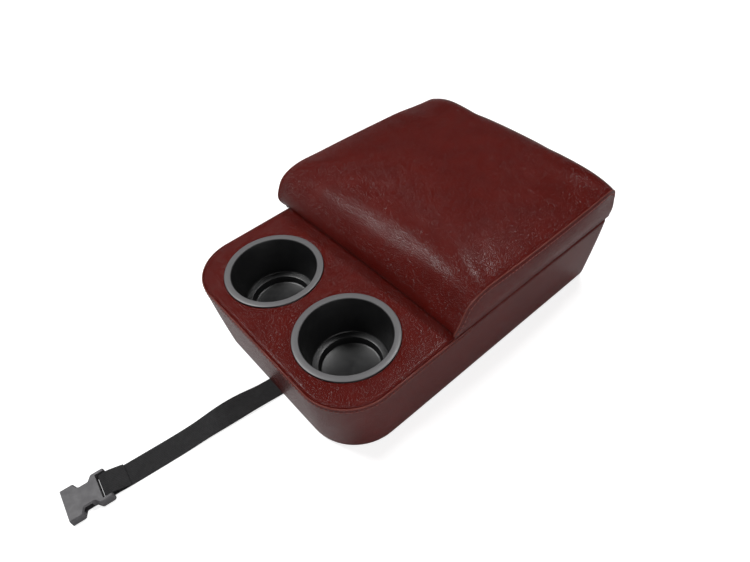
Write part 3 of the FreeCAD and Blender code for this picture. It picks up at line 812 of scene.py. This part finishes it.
def makeLid():
    half, low, rows = body["half"], lid["low"], lid["gussetRows"]
    profile = lidProfile()
    deselectAll()
    bpy.ops.mesh.primitive_grid_add(x_subdivisions=lid["across"], y_subdivisions=lid["along"], size=2)
    obj = bpy.context.object
    obj.name = "lidCushion"
    for v in obj.data.vertices:
        share = v.co.x
        place = profile[round((v.co.y + 1) / 2 * lid["along"])]
        height = 1 - (1 - lid["sideShare"]) * abs(share) ** lid["crownPower"]
        v.co = Vector((share * half, place.x, low + (place.y - low) * height))
    seam = obj.vertex_groups.new(name="seam")
    seam.add([v.index for v in obj.data.vertices if abs(v.co.x) > half - hair], 1.0, "REPLACE")
    # gussets drop from the side seams to the foot, outside the seam's own group
    for side in (-1, 1):
        enterEdit(obj)
        pick(obj, "EDGE", lambda e: all(v.co.x * side > half - hair for v in e.verts))
        for row in range(rows):
            bpy.ops.mesh.extrude_region_move(TRANSFORM_OT_translate={"value": (0, 0, 0)})
            bpy.ops.object.vertex_group_remove_from(use_all_groups=True)
            bpy.ops.transform.resize(value=(1, 1, 1 - 1 / (rows - row)), center_override=(0, 0, low))
        leaveEdit()
    tidyMesh(obj)
    enterEdit(obj)
    pick(obj, "EDGE", lambda e: len(e.link_faces) == 1)
    bpy.ops.mesh.edge_face_add()
    leaveEdit()
    tidyMesh(obj)
    swell(obj)
    held = [v.index for v in obj.data.vertices if inGroup(v, seam.index, 0.5) or v.co.z < low + hair]
    obj.vertex_groups.new(name="pin").add(held, 1.0, "REPLACE")
    puff(obj)
    applyModifier(obj, "SMOOTH", factor=0.5, iterations=lid["smoothTimes"], vertex_group="pin",
                  invert_vertex_group=True)
    enterEdit(obj)
    pick(obj, "EDGE", lambda e: atFoot(e, low))
    bpy.ops.transform.edge_crease(value=1)
    leaveEdit()
    applyModifier(obj, "SUBSURF", levels=1, render_levels=1)
    smooth(obj, 60)
    dress(obj, vinyl, "vinyl", "lid", "lid_top_cover", "lid_side_cover_left", "lid_side_cover_right", "lid_foam")
    print("lid", len(obj.data.polygons), "faces")
    return obj


def swell(obj):
    for v in obj.data.vertices:
        share = min(1, (v.co.z - lid["low"]) / lid["swellRise"])
        for centre, reach, push in lid["swells"]:
            away = Vector((v.co[i] - centre[i]) / reach[i] for i in range(3)).length
            if away < 1:
                v.co += Vector(push) * (1 - away ** 2) ** 2 * share
    obj.data.update()


# air pressure with the seams and the foot pinned; no point goes further than the cap
def puff(obj):
    scene = bpy.context.scene
    only(obj)
    before = [v.co.copy() for v in obj.data.vertices]
    cloth = obj.modifiers.new("puff", "CLOTH")
    for key, value in lid["cloth"].items():
        setattr(cloth.settings, key, value)
    cloth.settings.effector_weights.gravity = 0
    cloth.collision_settings.use_collision = False
    cloth.point_cache.frame_start = 1
    cloth.point_cache.frame_end = lid["frames"]
    for number in range(1, lid["frames"] + 1):
        scene.frame_set(number)
    bpy.ops.object.modifier_apply(modifier=cloth.name)
    scene.frame_set(1)
    moved = 0.0
    for v, old in zip(obj.data.vertices, before):
        step = v.co - old
        moved = max(moved, step.length)
        if step.length > lid["cap"]:
            v.co = old + step.normalized() * lid["cap"]
    obj.data.update()
    print("lid puffed, furthest", round(moved * 1000, 1), "mm")


lidCushion = makeLid()


# seams: a thin welt in each seam and a row of stitches beside it
seams = {"weltRadius": 0.0008, "stitchLength": 0.0032, "stitchPitch": 0.0046, "stitchRadius": 0.00045,
         "stitchWide": 1.3, "stitchLift": 0.00008,
         "deckSeam": 0.0886, "deckSeamIn": 0.0004, "deckStitch": 0.0838, "deckEnd": 0.012, "cornerSteps": 24,
         "deckPoints": 220,
         "lidStitch": 0.0042, "lidFoot": 0.003, "lidHub": (0.065, 0.08), "noseReach": 0.03, "noseShare": 0.6}


def layWelt(name, points, owner):
    curve = bpy.data.curves.new(name, "CURVE")
    curve.dimensions = "3D"
    curve.bevel_depth = seams["weltRadius"]
    curve.bevel_resolution = 2
    curve.use_fill_caps = True
    spline = curve.splines.new("POLY")
    spline.points.add(len(points) - 1)
    for point, place in zip(spline.points, points):
        point.co = (*place, 1)
    obj = bpy.data.objects.new(name, curve)
    bpy.context.scene.collection.objects.link(obj)
    only(obj)
    bpy.ops.object.convert(target="MESH")
    obj = bpy.context.object
    smooth(obj, 60)
    # the welt wears the paler vinyl: a painted highlight along the seam
    dress(obj, weltHighlightVinyl, "vinyl", owner)


# one stitch, copied along the line and laid on the cloth
def layStitches(name, points, cloth, owner):
    deselectAll()
    bpy.ops.mesh.primitive_uv_sphere_add(segments=8, ring_count=6, radius=1)
    obj = bpy.context.object
    obj.name = name
    radius = seams["stitchRadius"]
    obj.scale = (seams["stitchLength"] / 2, radius * seams["stitchWide"], radius)
    applyPlace()
    one = obj.data.copy()
    mesh = bmesh.new()
    length = sum((b - a).length for a, b in zip(points, points[1:]))
    ends = evenly(points, round(length / seams["stitchPitch"]))
    for before, after in zip(ends, ends[1:]):
        _, spot, normal, _ = cloth.closest_point_on_mesh((before + after) / 2)
        along = (after - before).normalized()
        along = (along - normal * along.dot(normal)).normalized()
        turn = Matrix((along, normal.cross(along), normal)).transposed().to_4x4()
        start = len(mesh.verts)
        mesh.from_mesh(one)
        mesh.verts.ensure_lookup_table()
        place = Matrix.Translation(spot + normal * seams["stitchLift"]) @ turn
        bmesh.ops.transform(mesh, matrix=place, verts=mesh.verts[start:])
    mesh.to_mesh(obj.data)
    mesh.free()
    bpy.data.meshes.remove(one)
    smooth(obj, 60)
    dress(obj, thread, "vinyl", owner)


def deckOutline(z, inward=0.0):
    half, front, corner = body["half"] - inward, body["front"] + inward, skirt["frontCorner"] - inward
    back = body["deckRear"] + seams["deckEnd"]
    points = [Vector((-half, back, z))]
    for side, start in ((-1, math.pi), (1, 1.5 * math.pi)):
        centre = Vector((side * (half - corner), front + corner, z))
        for i in range(seams["cornerSteps"] + 1):
            angle = start + math.pi / 2 * i / seams["cornerSteps"]
            points.append(centre + Vector((math.cos(angle), math.sin(angle), 0)) * corner)
    points.append(Vector((half, back, z)))
    return evenly(points, seams["deckPoints"])


# the sewn edge from nose to back, or a line below it for the stitches
def lidSeam(side, below=0.0):
    group = lidCushion.vertex_groups["seam"].index
    foot = lid["low"] + seams["lidFoot"] + below
    sewn = [v.co.copy() for v in lidCushion.data.vertices
            if v.co.x * side > 0 and v.co.z > foot and inGroup(v, group, 0.99)]
    hubY, hubZ = seams["lidHub"]
    sewn.sort(key=lambda co: -math.atan2(co.z - hubZ, co.y - hubY))
    noseEnd = lid["front"] + seams["noseReach"]
    return [co + Vector((0, below * seams["noseShare"] * (co.y < noseEnd), -below)) for co in sewn]


layWelt("deckWelt", deckOutline(seams["deckSeam"], seams["deckSeamIn"]), "console_body")
layStitches("deckStitches", deckOutline(seams["deckStitch"]), skirtVinyl, "console_body")
for side, label in ((-1, "Left"), (1, "Right")):
    layWelt("lidWelt" + label, lidSeam(side), "lid")
    layStitches("lidStitches" + label, lidSeam(side, seams["lidStitch"]), lidCushion, "lid")
print("seams sewn")


# cup holders: one profile of radius and height from the flange's top, spun
cup = {"top": 0.0932, "steps": 112, "merge": 0.00005,
       "profile": [(0.0, -0.0540), (0.0285, -0.0540), (0.0300, -0.0532), (0.0318, -0.0470), (0.0322, -0.0463),
                   (0.0330, -0.0459), (0.0383, -0.0456), (0.0390, -0.0449), (0.0394, -0.0430), (0.0441, -0.0030),
                   (0.0446, -0.0010), (0.0456, -0.0001), (0.0466, 0.0), (0.0505, 0.0), (0.0515, -0.0004),
                   (0.0520, -0.0013), (0.0520, -0.0027), (0.0516, -0.0030), (0.0466, -0.0030), (0.0464, -0.0034),
                   (0.0412, -0.0470), (0.0342, -0.0485), (0.0320, -0.0560), (0.0, -0.0560)]}


def makeCup(name, x, node):
    mesh = bmesh.new()
    points = [mesh.verts.new((x + r, body["cupY"], cup["top"] + z)) for r, z in cup["profile"]]
    for a, b in zip(points, points[1:]):
        mesh.edges.new((a, b))
    data = bpy.data.meshes.new(name)
    mesh.to_mesh(data)
    mesh.free()
    obj = bpy.data.objects.new(name, data)
    bpy.context.scene.collection.objects.link(obj)
    enterEdit(obj)
    pickAll()
    bpy.ops.mesh.spin(steps=cup["steps"], angle=2 * math.pi, center=(x, body["cupY"], 0), axis=(0, 0, 1))
    leaveEdit()
    tidyMesh(obj, cup["merge"])
    smooth(obj, 32)
    dress(obj, cupPlastic, "cup_plastic", "console_body", node)


makeCup("cupLeft", -body["cupX"], "cup_holder_left")
makeCup("cupRight", body["cupX"], "cup_holder_right")
print("cups turned")


# felt that lines the storage box, and the cloth that closes the lid's underside
felts = {"pitch": 0.009,
         "liningLow": (-0.12375, -0.04095, 0.0122), "liningHigh": (0.12375, 0.1734, 0.0818),
         "liningFoot": (0.1175, 0.16715), "liningThick": 0.0018, "liningCorner": 0.007, "cornerSteps": 6,
         "liningFold": 0.005, "foldSteps": 4, "wave": 0.0005, "waveScale": 26,
         "backingLow": (-0.1246, -0.0400, 0.0906), "backingHigh": (0.1246, 0.1680, 0.0916),
         "backingCorner": 0.004, "backingSteps": 4, "pucker": 0.0003, "puckerScale": 90, "puckerRun": 0.015}


def makeLining():
    low, high = felts["liningLow"], felts["liningHigh"]
    obj = slab("feltLining", low, high)
    enterEdit(obj)
    pick(obj, "VERT", lambda v: v.co.z < low[2] + hair)
    narrow = felts["liningFoot"][0] / high[0]
    short = (felts["liningFoot"][1] - low[1]) / (high[1] - low[1])
    bpy.ops.transform.resize(value=(narrow, short, 1), center_override=(0, low[1], low[2]))
    pick(obj, "EDGE", upright)
    bpy.ops.mesh.bevel(offset=felts["liningCorner"], segments=felts["cornerSteps"], affect="EDGES")
    pick(obj, "EDGE", lambda e: atFoot(e, low[2]))
    bpy.ops.mesh.bevel(offset=felts["liningFold"], segments=felts["foldSteps"], affect="EDGES")
    pick(obj, "FACE", lambda f: capFace(f, 1))
    bpy.ops.mesh.delete(type="FACE")
    for axis in range(3):
        slices(axis, steps(low[axis], high[axis], felts["pitch"]))
    leaveEdit()
    tidyMesh(obj)
    faceOutward(obj, (high[0], 0.06, 0.05), (1, 0, 0))
    moveVerts(obj, lambda co, normal: -normal * felts["wave"] * (1 + noise.noise(co * felts["waveScale"])))
    applyModifier(obj, "SOLIDIFY", thickness=felts["liningThick"], offset=-1)
    smooth(obj, 50)
    dress(obj, felt, "felt", "console_body", "storage_lining")


def makeBacking():
    low, high = felts["backingLow"], felts["backingHigh"]
    obj = slab("lidBacking", low, high)
    enterEdit(obj)
    pick(obj, "EDGE", upright)
    bpy.ops.mesh.bevel(offset=felts["backingCorner"], segments=felts["backingSteps"], affect="EDGES")
    for axis in range(2):
        slices(axis, steps(low[axis], high[axis], felts["pitch"]))
    leaveEdit()
    tidyMesh(obj)

    # the side that shows is drawn up a little along its edges
    def pucker(co, normal):
        if normal.z >= -0.5:
            return Vector()
        edge = min(high[0] - abs(co.x), co.y - low[1], high[1] - co.y)
        pull = 0.5 + 0.5 * noise.noise(Vector((co.x * felts["puckerScale"], co.y * felts["puckerScale"], 2.0)))
        return Vector((0, 0, felts["pucker"] * pull * max(0, 1 - edge / felts["puckerRun"])))

    moveVerts(obj, pucker)
    smooth(obj, 50)
    dress(obj, backing, "backing", "lid", "lid_backing")


makeLining()
makeBacking()
print("box lined")

# CAD nodes that keep their shape
keptNodes = [(plywood, ("base_panel", "wall_band", "rear_panel", "divider_panel", "deck_panel", "lid_board")),
             (steel, ("hinge_body_leaf", "hinge_lid_leaf", "hinge_pin", "hinge_body_screws", "hinge_lid_screws")),
             (linerRubber, ("bottom_liner",)), (bucklePlastic, ("buckle_socket",))]
for material, nodes in keptNodes:
    for node in nodes:
        paint(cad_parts[node], material)
print("frame painted")

# studio: pale floor that whitens with distance, soft lamps, camera at the photograph's angle
# lamps are name, place, target, size and power
studio = {"eye": (0.3504, -0.3029, 0.5308), "right": (0.6568, 0.7512, -0.0654), "down": (0.5247, -0.5176, -0.6758),
          "lens": 28.58, "sensor": 36, "clip": 0.01, "world": 0.08,
          "floorSize": 40, "floorTone": 0.70, "floorRough": 0.9, "floorGloss": 0.1,
          "floorNear": 0.74, "floorFar": 1.0, "whitenFrom": 0.35, "whitenTo": 1.1,
          "lamps": [("keySoftbox", (-0.46, -0.46, 0.92), (0.0, -0.06, 0.1), 0.30, 6.7),
                    ("backSoftbox", (0.04, 0.46, 1.10), (0.06, 0.05, 0.14), 0.20, 5.0),
                    ("sideFill", (1.15, -0.35, 0.50), (0.10, 0.0, 0.07), 0.90, 6.5)]}


def makeFloor():
    deselectAll()
    bpy.ops.mesh.primitive_plane_add(size=studio["floorSize"], location=(0, 0, 0))
    floor = bpy.context.object
    floor.name = "floor"
    material, tree, shader, coords = newMaterial("paleFloor", studio["floorRough"])
    fill(shader, {"Base Color": (*[studio["floorTone"]] * 3, 1), "Specular IOR Level": studio["floorGloss"],
                  "Emission Color": (1, 1, 1, 1)})
    path = addNode(tree, "ShaderNodeLightPath", (-600, -300))
    away = addNode(tree, "ShaderNodeVectorMath", (-750, -500), operation="LENGTH")
    whiten = addNode(tree, "ShaderNodeMapRange", (-600, -500), interpolation_type="SMOOTHSTEP")
    fill(whiten, {"From Min": studio["whitenFrom"], "From Max": studio["whitenTo"],
                  "To Min": studio["floorNear"], "To Max": studio["floorFar"]})
    lift = mathNode(tree, "MULTIPLY", (-300, -300))
    wire(tree, coords, "Object", away, 0)
    wire(tree, away, "Value", whiten, "Value")
    wire(tree, path, "Is Camera Ray", lift, 0)
    wire(tree, whiten, "Result", lift, 1)
    wire(tree, lift, 0, shader, "Emission Strength")
    floor.data.materials.append(material)


# dim light all round, white where the camera sees it
def makeWorld():
    world = bpy.data.worlds.new("studioWorld")
    bpy.context.scene.world = world
    world.use_nodes = True
    tree = world.node_tree
    back = tree.nodes["Background"]
    fill(back, {"Color": (1, 1, 1, 1)})
    path = addNode(tree, "ShaderNodeLightPath", (-600, 0))
    seen = mathNode(tree, "MAXIMUM", (-400, 0))
    strength = addNode(tree, "ShaderNodeMapRange", (-200, 0))
    fill(strength, {"To Min": studio["world"], "To Max": 1.0})
    wire(tree, path, "Is Camera Ray", seen, 0)
    wire(tree, path, "Is Transmission Ray", seen, 1)
    wire(tree, seen, 0, strength, "Value")
    wire(tree, strength, "Result", back, "Strength")


def makeLamps():
    for name, place, target, size, power in studio["lamps"]:
        data = bpy.data.lights.new(name, "AREA")
        data.size = size
        data.energy = power
        lamp = bpy.data.objects.new(name, data)
        bpy.context.scene.collection.objects.link(lamp)
        lamp.location = place
        lamp.rotation_euler = (Vector(target) - Vector(place)).to_track_quat("-Z", "Y").to_euler()


def makeCamera():
    scene = bpy.context.scene
    data = bpy.data.cameras.new("photoCamera")
    data.sensor_width = studio["sensor"]
    data.sensor_fit = "HORIZONTAL"
    data.lens = studio["lens"]
    data.clip_start = studio["clip"]
    camera = bpy.data.objects.new("photoCamera", data)
    scene.collection.objects.link(camera)
    right, up = Vector(studio["right"]).normalized(), -Vector(studio["down"]).normalized()
    turn = Matrix((right, up, right.cross(up))).transposed().to_4x4()
    camera.matrix_world = Matrix.Translation(Vector(studio["eye"])) @ turn
    scene.camera = camera
    scene.view_settings.view_transform = "Standard"


makeFloor()
makeWorld()
makeLamps()
makeCamera()
print("studio set")
